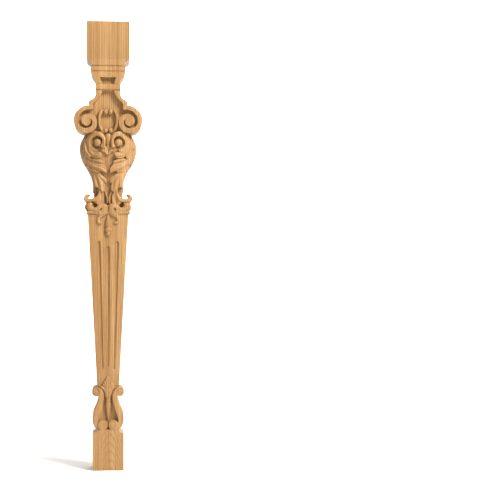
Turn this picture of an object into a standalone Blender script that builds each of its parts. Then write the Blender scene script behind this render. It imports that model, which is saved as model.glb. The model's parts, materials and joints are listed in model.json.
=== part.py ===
"""Carved oak stair baluster, one solid: square foot, lyre, fluted taper, leaf-carved bulb, volutes, top block.
Metres, +Z up, origin in the middle of the foot's underside, carved front towards -Y."""

import math

import bmesh
import bpy

# Heights of the parts of the baluster, from the floor up
FOOT_HEIGHT = 0.074
LYRE_HEIGHT = 0.096
SHAFT_HEIGHT = 0.344
TORUS_HEIGHT = 0.007
CONSOLE_HEIGHT = 0.049
BULB_HEIGHT = 0.107
VOLUTE_HEIGHT = 0.063
NECK_HEIGHT = 0.024
LOWER_COLLAR_HEIGHT = 0.010
BELL_HEIGHT = 0.027
UPPER_COLLAR_HEIGHT = 0.010
CAVETTO_HEIGHT = 0.014
TOP_BLOCK_HEIGHT = 0.075

# Half widths, left to right
FOOT_HALF = 0.031
LYRE_HALF = 0.031
LYRE_GROUND_HALF = 0.0215
SHAFT_FOOT_HALF = 0.022
SHAFT_HEAD_HALF = 0.0405
TORUS_HALF = 0.0437
CONSOLE_HALF = 0.0285
BULB_HALF = 0.0575
VOLUTE_RADIUS = 0.0248
VOLUTE_CENTRE = 0.0437
FIELD_HALF = 0.030
NECK_HALF = 0.0245
RIM_WIDTH = 0.0075
LOWER_COLLAR_HALF = 0.025
BELL_FOOT_HALF = 0.0225
UPPER_COLLAR_HALF = 0.0345
CAVETTO_HALF = 0.031
TOP_BLOCK_HALF = 0.043

# Half depths, front to back
LYRE_GROUND_DEPTH = 0.0195
LYRE_DEPTH = 0.029
CONSOLE_DEPTH = 0.028
BULB_DEPTH = 0.035
FIELD_DEPTH = 0.030
VOLUTE_DEPTH = 0.040
LOWER_COLLAR_DEPTH = 0.041
BELL_DEPTH = 0.040
UPPER_COLLAR_DEPTH = 0.0415

# Carving
GROOVE_DEPTH = 0.009
WINDOW_DEPTH = 0.009
FLUTE_HALF_WIDTH = 0.0031
FLUTE_SPREAD = 0.49
DROP_RADIUS = 0.0071
DROP_LENGTH = 0.051
BEAD_RADIUS = 0.0043

# Levels, worked out from the heights
LYRE_Z = FOOT_HEIGHT
SHAFT_Z = LYRE_Z + LYRE_HEIGHT
TORUS_Z = SHAFT_Z + SHAFT_HEIGHT
CONSOLE_Z = TORUS_Z + TORUS_HEIGHT
BULB_Z = CONSOLE_Z + CONSOLE_HEIGHT
VOLUTE_Z = BULB_Z + BULB_HEIGHT
NECK_Z = VOLUTE_Z + VOLUTE_HEIGHT
LOWER_COLLAR_Z = NECK_Z + NECK_HEIGHT
BELL_Z = LOWER_COLLAR_Z + LOWER_COLLAR_HEIGHT
UPPER_COLLAR_Z = BELL_Z + BELL_HEIGHT
CAVETTO_Z = UPPER_COLLAR_Z + UPPER_COLLAR_HEIGHT
TOP_BLOCK_Z = CAVETTO_Z + CAVETTO_HEIGHT
TOP_Z = TOP_BLOCK_Z + TOP_BLOCK_HEIGHT

for old in list(bpy.data.objects):
    bpy.data.objects.remove(old)

parts = bpy.data.collections.new("baluster")
carving = bpy.data.collections.new("carving")
cuts = bpy.data.collections.new("cuts")
for group in (parts, carving, cuts):
    bpy.context.scene.collection.children.link(group)


def smooth_line(points, spans):
    """A smooth line through the points, spans steps between each two; every component is carried along."""
    line = []
    last = len(points) - 1
    for i in range(last):
        before = points[max(i - 1, 0)]
        here = points[i]
        there = points[i + 1]
        after = points[min(i + 2, last)]
        for step in range(spans):
            t = step / spans
            line.append(tuple(
                0.5 * (2 * b + (c - a) * t + (2 * a - 5 * b + 4 * c - d) * t * t + (3 * b - a - 3 * c + d) * t ** 3)
                for a, b, c, d in zip(before, here, there, after)))
    line.append(tuple(points[last]))
    return line


def value_at(points, where):
    """The height of a smooth curve through (position, value) points at one position."""
    line = smooth_line(points, 6)
    if where <= line[0][0]:
        return line[0][1]
    for (low, first), (high, second) in zip(line, line[1:]):
        if where <= high:
            return first + (second - first) * (where - low) / max(high - low, 1e-9)
    return line[-1][1]


def add_object(name, mesh, group):
    """The mesh as an object; shapes that are joined or cut away are drawn as wire and not rendered."""
    thing = bpy.data.objects.new(name, mesh)
    group.objects.link(thing)
    if group is not parts:
        thing.display_type = "WIRE"
        thing.hide_render = True
    return thing


def loft(name, rings, group):
    """A closed solid through rings of equally many points, with a face at each end."""
    form = bmesh.new()
    rows = [[form.verts.new(point) for point in ring] for ring in rings]
    for row, above in zip(rows, rows[1:]):
        for i in range(len(row)):
            j = (i + 1) % len(row)
            form.faces.new((row[i], row[j], above[j], above[i]))
    form.faces.new(rows[0])
    form.faces.new(rows[-1])
    bmesh.ops.recalc_face_normals(form, faces=form.faces)
    bmesh.ops.triangulate(form, faces=form.faces)
    mesh = bpy.data.meshes.new(name)
    form.to_mesh(mesh)
    form.free()
    return add_object(name, mesh, group)


def plate(name, outline, front, back, group):
    """A flat outline of (x, z) points, extruded from its front to its back."""
    curve = bpy.data.curves.new(name, "CURVE")
    curve.dimensions = "2D"
    curve.fill_mode = "BOTH"
    curve.extrude = (back - front) / 2
    spline = curve.splines.new("POLY")
    spline.points.add(len(outline) - 1)
    for point, (x, z) in zip(spline.points, outline):
        point.co = (x, z, 0, 1)
    spline.use_cyclic_u = True
    shape = bpy.data.objects.new(name, curve)
    bpy.context.scene.collection.objects.link(shape)
    shape.rotation_euler = (math.pi / 2, 0, 0)
    shape.location = (0, (front + back) / 2, 0)
    bpy.context.view_layer.update()
    graph = bpy.context.evaluated_depsgraph_get()
    mesh = bpy.data.meshes.new_from_object(shape.evaluated_get(graph))
    matrix = shape.matrix_world.copy()
    bpy.data.objects.remove(shape)
    form = bmesh.new()
    form.from_mesh(mesh)
    bmesh.ops.remove_doubles(form, verts=form.verts, dist=0.00001)
    bmesh.ops.recalc_face_normals(form, faces=form.faces)
    form.to_mesh(mesh)
    form.free()
    mesh.transform(matrix)
    return add_object(name, mesh, group)


def ball(name, centre, radii, segments, rings, group):
    """A ball, or an egg when its three radii differ."""
    form = bmesh.new()
    bmesh.ops.create_uvsphere(form, u_segments=segments, v_segments=rings, radius=1)
    bmesh.ops.scale(form, vec=radii, verts=form.verts)
    bmesh.ops.translate(form, vec=centre, verts=form.verts)
    mesh = bpy.data.meshes.new(name)
    form.to_mesh(mesh)
    form.free()
    return add_object(name, mesh, group)


def turned(name, profile, depth, steps, group):
    """A turned drop: (radius, z) points from top to bottom, turned round an upright axis at the given depth."""
    mesh = bpy.data.meshes.new(name)
    mesh.from_pydata([(radius, 0, z) for radius, z in profile], [(i, i + 1) for i in range(len(profile) - 1)], [])
    shape = bpy.data.objects.new(name, mesh)
    bpy.context.scene.collection.objects.link(shape)
    screw = shape.modifiers.new("turn", "SCREW")
    screw.steps = steps
    screw.render_steps = steps
    screw.use_merge_vertices = True
    screw.merge_threshold = 0.00002
    bpy.context.view_layer.update()
    graph = bpy.context.evaluated_depsgraph_get()
    solid = bpy.data.meshes.new_from_object(shape.evaluated_get(graph))
    bpy.data.objects.remove(shape)
    form = bmesh.new()
    form.from_mesh(solid)
    bmesh.ops.remove_doubles(form, verts=form.verts, dist=0.00002)
    bmesh.ops.recalc_face_normals(form, faces=form.faces)
    bmesh.ops.translate(form, vec=(0, depth, 0), verts=form.verts)
    form.to_mesh(solid)
    form.free()
    return add_object(name, solid, group)


def roll(name, centre, radius, front, back, segments, group):
    """A round roll lying front to back, its front end rounded over."""
    rings = []
    for y, share in ((front, 0.55), (front + 0.1 * radius, 0.8), (front + 0.4 * radius, 1), (back, 1)):
        rings.append([
            (centre[0] + share * radius * math.cos(2 * math.pi * (i + 0.5) / segments), y,
             centre[1] + share * radius * math.sin(2 * math.pi * (i + 0.5) / segments)) for i in range(segments)])
    return loft(name, rings, group)


def band(name, stations, surface, back, spans=2, across=4, edge=0.45, limit=None):
    """A carved band. Each station gives x, z, half width and crest height in metres; the band's front is
    rounded, stands on the surface behind it by its crest height, and has upright sides of a share of it.
    A limit, where given, is the half width that it keeps within at each height."""
    line = smooth_line(stations, spans)
    rings = []
    for i, (x, z, half, height) in enumerate(line):
        ahead = line[min(i + 1, len(line) - 1)]
        behind = line[max(i - 1, 0)]
        run_x = ahead[0] - behind[0]
        run_z = ahead[1] - behind[1]
        length = math.hypot(run_x, run_z)
        side_x = -run_z / length * half
        side_z = run_x / length * half
        ring = [(x - side_x, back, z - side_z)]
        for j in range(across):
            s = 2 * j / (across - 1) - 1
            rise = height * (edge + (1 - edge) * math.sqrt(max(0, 1 - s * s)))
            px = x + side_x * s
            pz = z + side_z * s
            ring.append((px, surface(px, pz) - rise, pz))
        ring.append((x + side_x, back, z + side_z))
        if limit:
            ring = [(max(-limit(pz), min(limit(pz), px)), py, pz) for px, py, pz in ring]
        rings.append(ring)
    return loft(name, rings, carving)


def zone(base, height, half):
    """Turns a carver's drawing into place: hundredths of the half width across and of the height up."""
    def place(side, drawing):
        return [(side * u * half / 100, base + v * height / 100, w * half / 100, h * half / 100)
                for u, v, w, h in drawing]
    return place


def flat_at(depth):
    """An upright plane behind a carving."""
    return lambda x, z: -depth


# The square-sectioned body from the floor to the top, as levels of height, half width and half depth
body_levels = [
    (0, FOOT_HALF, FOOT_HALF),
    (FOOT_HEIGHT, FOOT_HALF, FOOT_HALF),
    (LYRE_Z + 0.025 * LYRE_HEIGHT, FOOT_HALF * 0.81, FOOT_HALF * 0.81),
    (LYRE_Z + 0.065 * LYRE_HEIGHT, LYRE_GROUND_HALF, LYRE_GROUND_DEPTH),
    (LYRE_Z + 0.42 * LYRE_HEIGHT, LYRE_GROUND_HALF, LYRE_GROUND_DEPTH),
    (LYRE_Z + 0.7 * LYRE_HEIGHT, LYRE_GROUND_HALF * 0.78, LYRE_GROUND_DEPTH),
    (SHAFT_Z - 0.07 * LYRE_HEIGHT, LYRE_GROUND_HALF * 0.85, LYRE_GROUND_DEPTH),
    (SHAFT_Z - 0.01 * LYRE_HEIGHT, SHAFT_FOOT_HALF, SHAFT_FOOT_HALF),
    (TORUS_Z, SHAFT_HEAD_HALF, SHAFT_HEAD_HALF),
]
for share, swell in ((0.02, 0.35), (0.18, 0.82), (0.5, 1), (0.82, 0.82), (0.98, 0.35)):
    reach = SHAFT_HEAD_HALF + (TORUS_HALF - SHAFT_HEAD_HALF) * swell
    body_levels.append((TORUS_Z + share * TORUS_HEIGHT, reach, reach))
body_levels += [
    (CONSOLE_Z, CONSOLE_HALF, CONSOLE_DEPTH),
    (BULB_Z - 0.26 * CONSOLE_HEIGHT, CONSOLE_HALF, CONSOLE_DEPTH),
    (BULB_Z - 0.25 * CONSOLE_HEIGHT, CONSOLE_HALF * 1.07, CONSOLE_DEPTH),
    (BULB_Z, CONSOLE_HALF * 1.07, CONSOLE_DEPTH),
    (BULB_Z + 0.1 * BULB_HEIGHT, CONSOLE_HALF, CONSOLE_DEPTH * 0.9),
    (VOLUTE_Z - 0.1 * BULB_HEIGHT, FIELD_HALF, FIELD_DEPTH * 0.9),
    (VOLUTE_Z - 0.02 * BULB_HEIGHT, FIELD_HALF, FIELD_DEPTH),
    (NECK_Z - 0.08 * VOLUTE_HEIGHT, FIELD_HALF, FIELD_DEPTH),
    (NECK_Z + 0.16 * NECK_HEIGHT, FIELD_HALF * 0.8, FIELD_DEPTH),
    (LOWER_COLLAR_Z - 0.2 * NECK_HEIGHT, NECK_HALF * 0.9, FIELD_DEPTH),
    (LOWER_COLLAR_Z - 0.12 * NECK_HEIGHT, LOWER_COLLAR_HALF * 0.96, LOWER_COLLAR_DEPTH * 0.96),
    (LOWER_COLLAR_Z, LOWER_COLLAR_HALF, LOWER_COLLAR_DEPTH),
    (BELL_Z - 0.001, LOWER_COLLAR_HALF, LOWER_COLLAR_DEPTH),
    (BELL_Z, LOWER_COLLAR_HALF - 0.001, LOWER_COLLAR_DEPTH - 0.001),
]
for share, flare in ((0.04, 0), (0.2, 0.12), (0.4, 0.38), (0.6, 0.66), (0.8, 0.86), (0.92, 0.95)):
    body_levels.append((
        BELL_Z + share * BELL_HEIGHT,
        BELL_FOOT_HALF + (UPPER_COLLAR_HALF - BELL_FOOT_HALF) * flare,
        BELL_DEPTH))
body_levels += [
    (UPPER_COLLAR_Z, UPPER_COLLAR_HALF - 0.001, UPPER_COLLAR_DEPTH - 0.001),
    (UPPER_COLLAR_Z + 0.001, UPPER_COLLAR_HALF, UPPER_COLLAR_DEPTH),
    (CAVETTO_Z - 0.001, UPPER_COLLAR_HALF, UPPER_COLLAR_DEPTH),
    (CAVETTO_Z, UPPER_COLLAR_HALF - 0.001, UPPER_COLLAR_DEPTH - 0.001),
]
for share, flare in ((0.02, 0), (0.3, 0.1), (0.52, 0.34), (0.7, 0.75), (0.9, 0.93)):
    body_levels.append((
        CAVETTO_Z + share * CAVETTO_HEIGHT,
        CAVETTO_HALF + (TOP_BLOCK_HALF - CAVETTO_HALF) * flare,
        TOP_BLOCK_HALF))
body_levels += [
    (TOP_BLOCK_Z, TOP_BLOCK_HALF, TOP_BLOCK_HALF),
    (TOP_Z, TOP_BLOCK_HALF, TOP_BLOCK_HALF),
]
baluster = loft("baluster", [
    [(half, -deep, z), (half, deep, z), (-half, deep, z), (-half, -deep, z)]
    for z, half, deep in body_levels], parts)


# The bulb: its outline seen from the front, and how far it comes forward
def bulb_half(z):
    """Half width of the bulb at a height."""
    share = (z - BULB_Z) / BULB_HEIGHT
    outline = ((0, 0.53), (0.09, 0.555), (0.19, 0.61), (0.28, 0.695), (0.38, 0.81), (0.47, 0.9),
               (0.57, 0.965), (0.69, 1), (0.79, 0.985), (0.9, 0.905), (1, 0.79))
    return BULB_HALF * value_at(outline, share)


def bulb_edge(z):
    """How far out the leaves reach on the bulb at a height."""
    return 0.985 * bulb_half(z)


def bulb_deep(z):
    """Half depth of the bulb at a height."""
    share = (z - BULB_Z) / BULB_HEIGHT
    return BULB_DEPTH * value_at(((0, 0.8), (0.35, 0.9), (0.7, 1), (1, 0.93)), share)


def bulb_front(x, z):
    """The bulb's front surface, a full curve from side to side."""
    across = min(abs(x) / bulb_half(z), 0.985)
    return -bulb_deep(z) * (1 - across ** 2.6) ** (1 / 2.6)


bulb_rings = []
for level in range(13):
    z = BULB_Z + BULB_HEIGHT * level / 12
    ring = []
    for step in range(24):
        turn = 2 * math.pi * step / 24
        c = math.cos(turn)
        s = math.sin(turn)
        ring.append((
            bulb_half(z) * math.copysign(abs(c) ** 0.77, c),
            bulb_deep(z) * math.copysign(abs(s) ** 0.77, s), z))
    bulb_rings.append(ring)
loft("bulb", bulb_rings, carving)


# The volutes: a flat plate on each side, rising as a rim along the neck, with a spiral groove in both faces
def spiral(points, side, spans):
    """Points of (turn in degrees, radius, half width), the last two as shares of the volute's radius."""
    centre_z = VOLUTE_Z + 0.985 * VOLUTE_RADIUS
    places = []
    for turn, radius, half in smooth_line(points, spans):
        angle = math.radians(turn)
        places.append((
            side * (VOLUTE_CENTRE - radius * VOLUTE_RADIUS * math.cos(angle)),
            centre_z + radius * VOLUTE_RADIUS * math.sin(angle), half * VOLUTE_RADIUS))
    return places


for side in (-1, 1):
    rim_outer = VOLUTE_CENTRE - 0.006
    rim_inner = rim_outer - RIM_WIDTH
    neck_top = LOWER_COLLAR_Z - 0.1 * NECK_HEIGHT
    edge = spiral(((93, 1.21, 0), (125, 1.08, 0), (165, 1.01, 0), (210, 1, 0), (250, 1, 0), (290, 0.99, 0),
                   (330, 0.96, 0), (365, 0.88, 0), (400, 0.74, 0)), side, 3)
    outline = [
        (side * NECK_HALF, neck_top),
        (side * NECK_HALF * 0.97, neck_top - 0.14 * NECK_HEIGHT),
        (side * (NECK_HALF + (rim_outer - NECK_HALF) * 0.26), NECK_Z + 0.3 * NECK_HEIGHT),
        (side * rim_outer, NECK_Z),
        (side * rim_outer, NECK_Z - 0.135 * VOLUTE_HEIGHT)]
    outline += [(x, z) for x, z, half in edge]
    outline += [
        (side * rim_inner, NECK_Z - 0.25 * VOLUTE_HEIGHT),
        (side * rim_inner, NECK_Z - 0.075 * VOLUTE_HEIGHT),
        (side * NECK_HALF * 0.86, NECK_Z + 0.18 * NECK_HEIGHT),
        (side * NECK_HALF * 0.61, NECK_Z + 0.55 * NECK_HEIGHT),
        (side * NECK_HALF * 0.5, neck_top)]
    plate("volute", outline, -VOLUTE_DEPTH, VOLUTE_DEPTH, carving)
    groove = spiral(((42, 0.96, 0.23), (60, 0.86, 0.2), (90, 0.735, 0.155), (180, 0.51, 0.125), (270, 0.49, 0.09),
                     (345, 0.45, 0.065), (377, 0.43, 0.03)), side, 3)
    for face in (-1, 1):
        rings = []
        for i, (x, z, half) in enumerate(groove):
            ahead = groove[min(i + 1, len(groove) - 1)]
            behind = groove[max(i - 1, 0)]
            length = math.hypot(ahead[0] - behind[0], ahead[1] - behind[1])
            side_x = -(ahead[1] - behind[1]) / length * half
            side_z = (ahead[0] - behind[0]) / length * half
            floor = face * (VOLUTE_DEPTH - GROOVE_DEPTH)
            mouth = face * (VOLUTE_DEPTH + 0.002)
            rings.append([
                (x - side_x, mouth, z - side_z), (x - 0.9 * side_x, floor, z - 0.9 * side_z),
                (x + 0.9 * side_x, floor, z + 0.9 * side_z), (x + side_x, mouth, z + side_z)])
        loft("volute groove", rings, cuts)

# The bell's recessed window, front and back
for face in (-1, 1):
    window = ((-0.47, 0.53), (-0.33, 0.01), (0.33, 0.01), (0.47, 0.53))
    outline = [(u * UPPER_COLLAR_HALF, BELL_Z + v * BELL_HEIGHT) for u, v in window]
    deep = UPPER_COLLAR_DEPTH + 0.002
    floor = BELL_DEPTH - WINDOW_DEPTH
    plate("window", outline, min(face * floor, face * deep), max(face * floor, face * deep), cuts)


# The flutes of the taper, three to a face, drawn together towards the foot
def shaft_half(z):
    """Half width of the square taper at a height."""
    return SHAFT_FOOT_HALF + (SHAFT_HEAD_HALF - SHAFT_FOOT_HALF) * (z - SHAFT_Z) / SHAFT_HEIGHT


for quarter in range(4):
    for place in (-1, 0, 1):
        low = SHAFT_Z + (0.095 if place else 0.11) * SHAFT_HEIGHT
        high = SHAFT_Z + (0.845 if place else 0.815) * SHAFT_HEIGHT
        rings = []
        for share, width in ((0, 0.35), (0.008, 0.85), (0.02, 1), (0.98, 1.3), (0.992, 1.1), (1, 0.45)):
            z = low + (high - low) * share
            face = shaft_half(z)
            along = place * FLUTE_SPREAD * face
            half = FLUTE_HALF_WIDTH * width * 0.85
            ring = []
            for x, y in ((-half, 0.002), (-0.8 * half, -0.7 * half), (0, -half), (0.8 * half, -0.7 * half),
                         (half, 0.002)):
                across = along + x
                out = face + y
                for turn in range(quarter):
                    across, out = -out, across
                ring.append((across, -out, z))
            rings.append(ring)
        loft("flute", rings, cuts)

# The drop in front of the taper's head, a string of beads
drop_top = TORUS_Z + TORUS_HEIGHT
drop_shape = ((0, -0.2), (0.42, -0.2), (0.42, 0.02), (0.48, 0.17), (0.84, 0.4), (0.95, 0.57), (0.76, 0.65),
              (1, 0.75), (0.64, 0.84), (0.75, 0.92), (0.4, 0.985), (0, 1))
turned("drop", [(r * DROP_RADIUS, drop_top - v * DROP_LENGTH) for r, v in drop_shape],
       -SHAFT_HEAD_HALF + 0.001, 10, carving)

# The bulb's leaves and scrolls, drawn on its front in hundredths of its half width and height
on_bulb = zone(BULB_Z, BULB_HEIGHT, BULB_HALF)
bulb_bands = (
    ("margin", ((84, 90, 5, 1), (88, 80, 9, 8), (88, 67, 11, 9), (81, 56, 12, 11), (66, 49.5, 12, 12),
                (45, 48.5, 10.5, 12), (28, 47, 9, 11), (16.5, 45, 4, 7))),
    ("middle leaf", ((86, 60, 10, 1), (76, 46, 13, 9), (62, 41, 14, 11), (44, 37, 14.5, 13), (26, 34, 13.5, 14),
                     (12, 29.5, 10.5, 13), (5.5, 25, 4, 8))),
    ("middle leaf side", ((80, 42, 8, 1), (68, 35, 9, 8), (53, 30, 8, 9), (41, 27.5, 6, 8), (34, 26.5, 3, 5))),
    ("scroll", ((24, 59, 5, 8), (33, 58.5, 11, 13), (47, 59.5, 13, 15), (60, 65, 12, 16), (67, 75, 9.5, 16),
                (67, 86, 8.5, 16), (57.5, 95, 8.5, 17), (42, 98.5, 8.5, 18), (26, 96, 7.5, 18), (16, 88.5, 6.5, 17),
                (15.5, 80, 6, 16), (20, 74, 5.5, 15), (27, 72.5, 4.5, 14))),
    ("outer fold", ((76, 93, 6, 1), (80, 81, 8, 10), (77, 70, 8.5, 12), (70, 61, 7.5, 11), (64, 53.5, 4, 6))),
    ("lower leaf", ((62, 31, 8, 1), (50, 23.5, 11, 9), (35, 19.5, 12.5, 12), (20, 15, 10.5, 13),
                    (8, 10, 5, 8))),
    ("lower leaf tip", ((52, 23, 9, 1), (37, 11, 13, 10), (24, 3, 12, 12), (16.5, -4, 8, 10), (19.5, -10.5, 3, 6))),
    ("lower leaf side", ((53, 18, 6, 1), (46, 8, 8, 7), (42.5, 0, 5, 5))),
)
eye = on_bulb(1, ((35.7, 82, 13.5, 0),))[0]
for side in (-1, 1):
    for order, (name, drawing) in enumerate(bulb_bands):
        band(name, on_bulb(side, drawing), bulb_front, -(0.1 + 0.021 * order) * BULB_DEPTH, 1,
             limit=bulb_edge)
    ball("scroll eye", (side * eye[0], bulb_front(eye[0], eye[1]) + 0.001, eye[1]),
         (eye[2], 0.0065, eye[2] * 1.05), 14, 8, carving)

# The tulip between the scrolls: a slim drop that opens into three lobes
tulip = ((0, 100), (5, 99.5), (9.5, 96), (11, 92), (9, 85), (6, 78), (5.5, 73), (9, 67), (11.5, 63.5), (9, 60.5),
         (0, 59.5))
turned("tulip", [(r * BULB_HALF / 100, BULB_Z + v * BULB_HEIGHT / 100) for r, v in tulip],
       -BULB_DEPTH - 0.0005, 10, carving)
for side in (-1, 1):
    x, z, half, height = on_bulb(side, ((16.5, 68.8, 7.8, 0),))[0]
    ball("tulip lobe", (x, -BULB_DEPTH, z), (half, half * 1.3, half * 0.9), 10, 6, carving)

# The console under the bulb: stems, broad leaves, hooks to the side, rolled leaves and curled heads
on_console = zone(TORUS_Z, CONSOLE_HEIGHT + TORUS_HEIGHT, CONSOLE_HALF)
console_flat = flat_at(CONSOLE_DEPTH)
head_flat = flat_at(SHAFT_HEAD_HALF - 0.002)
console_bands = (
    ("stem", ((26, 84, 4, 16), (14, 70, 5.5, 30), (7.5, 58, 5.5, 34), (7.5, 50, 5.5, 34), (11, 41, 5.5, 32),
              (16, 33, 4, 24)), console_flat, 0),
    ("broad leaf", ((57, 87, 17, 14), (59, 71, 27, 22), (61, 55, 30, 27), (62, 36, 28, 30)), console_flat, 0.001),
    ("hook", ((70, 62, 20, 18), (98, 51.5, 16, 24), (126, 49, 13.5, 27), (148, 52, 14, 29), (156, 60, 11, 29),
              (149, 67, 8, 27), (135, 70, 4.5, 24)), console_flat, 0.024),
    ("rolled leaf", ((66, 20, 20, 18), (88, 16, 18, 20), (112, 19, 17, 22), (126, 25, 13, 20)), head_flat, -0.012),
    ("head", ((30, 36, 22, 14), (41, 20, 37, 23), (52, 2, 37, 26), (67, -13, 18, 24), (70, -24, 12, 22),
              (62, -31, 9, 19), (46, -31.5, 8, 18)), head_flat, -0.004),
)
for side in (-1, 1):
    for name, drawing, surface, back in console_bands:
        band(name, on_console(side, drawing), surface, back, 1)
    for name, u, v, radius, front, back in (("leaf roll", 126, 28, 26, -SHAFT_HEAD_HALF - 0.003, -0.009),
                                            ("rear roll", 140, 26, 23, -0.034, 0.02)):
        x, z, half, height = on_console(side, ((u, v, radius, 0),))[0]
        roll(name, (x, z), half, front, back, 12, carving)

# The ring between the volutes: two bowed rods with a pair of beads above and below
on_volutes = zone(VOLUTE_Z, VOLUTE_HEIGHT, FIELD_HALF)
field_flat = flat_at(FIELD_DEPTH)
for side in (-1, 1):
    rod = ((31, 74, 7, 20), (45, 68, 10, 28), (56, 57, 11.5, 32), (60, 42, 12, 33), (56, 25, 12, 33),
           (44, 11, 11, 30), (28, 1, 9, 22), (15, -3, 6, 14))
    band("ring", on_volutes(side, rod), field_flat, 0, edge=0.3)
    for v, rise in ((67, 1.35), (7.5, 1.3)):
        x, z, half, height = on_volutes(side, ((15.2, v, 0, 0),))[0]
        ball("ring bead", (x, -FIELD_DEPTH - 0.002, z), (BEAD_RADIUS, 0.0065, BEAD_RADIUS * rise), 10, 6, carving)

# The lyre above the foot: two arms with curled ends, a torch and its flame between them
on_lyre = zone(LYRE_Z, LYRE_HEIGHT, LYRE_HALF)
lyre_flat = flat_at(LYRE_GROUND_DEPTH)
for side in (-1, 1):
    arm = ((58, 8, 12, 16), (76, 17, 16, 26), (82, 32, 18, 30), (75, 46, 20, 30), (60, 58, 20, 30),
           (48, 71, 18, 30), (48, 84, 17, 30), (60, 91, 14, 28))
    band("lyre arm", on_lyre(side, arm), lyre_flat, LYRE_DEPTH * 0.8, 1)
    for name, u, v, radius, reach in (("lyre head curl", 76, 86, 27.5, 0.78), ("lyre foot curl", 35, 19, 29, 0.7)):
        x, z, half, height = on_lyre(side, ((u, v, radius, 0),))[0]
        roll(name, (x, z), half, -LYRE_DEPTH - 0.001, LYRE_DEPTH * reach, 12, carving)
    band("flame side", on_lyre(side, ((15, 77, 8, 18), (25, 86, 12, 22), (37, 93.5, 11, 20), (47, 99, 4, 14))),
         lyre_flat, 0.001)
    band("flame", on_lyre(side, ((10, 78, 9, 20), (15, 92, 13, 25), (22, 103, 11.5, 23), (26, 111, 4, 17))),
         lyre_flat, 0.002)
band("flame middle", on_lyre(1, ((0, 77, 9, 22), (0, 95, 14, 28), (0, 110, 13, 26), (0, 120, 4, 19))), lyre_flat, 0)
torch = ((0, 75), (18, 75), (20, 73.5), (20, 67), (17, 65.5), (17.5, 62), (10, 43), (4, 31), (0, 27.5))
turned("torch", [(r * LYRE_HALF / 100, LYRE_Z + v * LYRE_HEIGHT / 100) for r, v in torch],
       -LYRE_GROUND_DEPTH - 0.001, 10, carving)

# Everything is one piece of oak: the carving joined to the body, the grooves and flutes cut from it
join = baluster.modifiers.new("carving", "BOOLEAN")
join.operation = "UNION"
join.operand_type = "COLLECTION"
join.collection = carving
cut = baluster.modifiers.new("cuts", "BOOLEAN")
cut.operation = "DIFFERENCE"
cut.operand_type = "COLLECTION"
cut.collection = cuts

oak = bpy.data.materials.new("oak")
oak.use_nodes = True
shader = oak.node_tree.nodes["Principled BSDF"]
shader.inputs["Base Color"].default_value = (0.6, 0.38, 0.18, 1)
shader.inputs["Roughness"].default_value = 0.5
shader.inputs["Metallic"].default_value = 0
baluster.data.materials.append(oak)
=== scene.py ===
import json
import math

import bmesh
import bpy
import numpy
from mathutils import Matrix, Vector

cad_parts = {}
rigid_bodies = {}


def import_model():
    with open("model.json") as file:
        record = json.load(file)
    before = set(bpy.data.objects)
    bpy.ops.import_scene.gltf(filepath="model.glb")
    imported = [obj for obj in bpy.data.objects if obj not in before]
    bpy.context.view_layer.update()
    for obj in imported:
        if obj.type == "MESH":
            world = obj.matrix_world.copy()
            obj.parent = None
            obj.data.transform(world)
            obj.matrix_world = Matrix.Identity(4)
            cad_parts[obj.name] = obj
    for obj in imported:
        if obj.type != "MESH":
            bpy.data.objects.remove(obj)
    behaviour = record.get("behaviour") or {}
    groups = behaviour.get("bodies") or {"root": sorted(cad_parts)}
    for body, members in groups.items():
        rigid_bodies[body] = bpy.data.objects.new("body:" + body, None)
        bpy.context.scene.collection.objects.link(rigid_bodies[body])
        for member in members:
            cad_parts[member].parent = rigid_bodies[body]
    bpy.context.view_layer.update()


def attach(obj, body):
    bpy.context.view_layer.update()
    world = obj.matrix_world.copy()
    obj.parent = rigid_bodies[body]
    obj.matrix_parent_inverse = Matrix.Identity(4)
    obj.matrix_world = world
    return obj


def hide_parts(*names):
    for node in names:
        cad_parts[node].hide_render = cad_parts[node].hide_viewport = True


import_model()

# The blank: one length of oak, squared and planed, then sawn to its outline as foot, taper, neck, collars,
# bell and block. Its mouldings are run round all four sides, and the edges at its ends and collars are
# just broken.
ARRIS = 0.0006
FOOT_HALF = 0.031
FOOT_TOP = 0.074
TAPER_FOOT_HALF = 0.022
TAPER_HEAD_HALF = 0.0405
TAPER_TOP = 0.514
TORUS_HALF = 0.0437
TORUS_TOP = 0.521
CONSOLE_HALF = 0.0285
CONSOLE_DEPTH = 0.028
BULB_FOOT = 0.570
COLLAR_FOOT = 0.764
COLLAR_HALF = 0.025
COLLAR_DEPTH = 0.041
BELL_FOOT = 0.774
UPPER_COLLAR_FOOT = 0.801
UPPER_COLLAR_HALF = 0.0345
UPPER_COLLAR_DEPTH = 0.0415
CAVETTO_FOOT = 0.811
BLOCK_FOOT = 0.825
BLOCK_TOP = 0.900
BLOCK_HALF = 0.043
CAVETTO_DEPTH = 0.0429
FIELD_HALF = 0.030
FIELD_DEPTH = 0.030
LYRE_GROUND_HALF = 0.0215
LYRE_GROUND_DEPTH = 0.0195

carving = bpy.data.collections.new("carving")
cuts = bpy.data.collections.new("cuts")


def keep(form, name, group):
    """The shape as an object, for joining to the blank or for cutting it."""
    bmesh.ops.recalc_face_normals(form, faces=form.faces)
    bmesh.ops.triangulate(form, faces=form.faces)
    mesh = bpy.data.meshes.new(name)
    form.to_mesh(mesh)
    form.free()
    thing = bpy.data.objects.new(name, mesh)
    if group is not None:
        group.objects.link(thing)
    return thing


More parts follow.
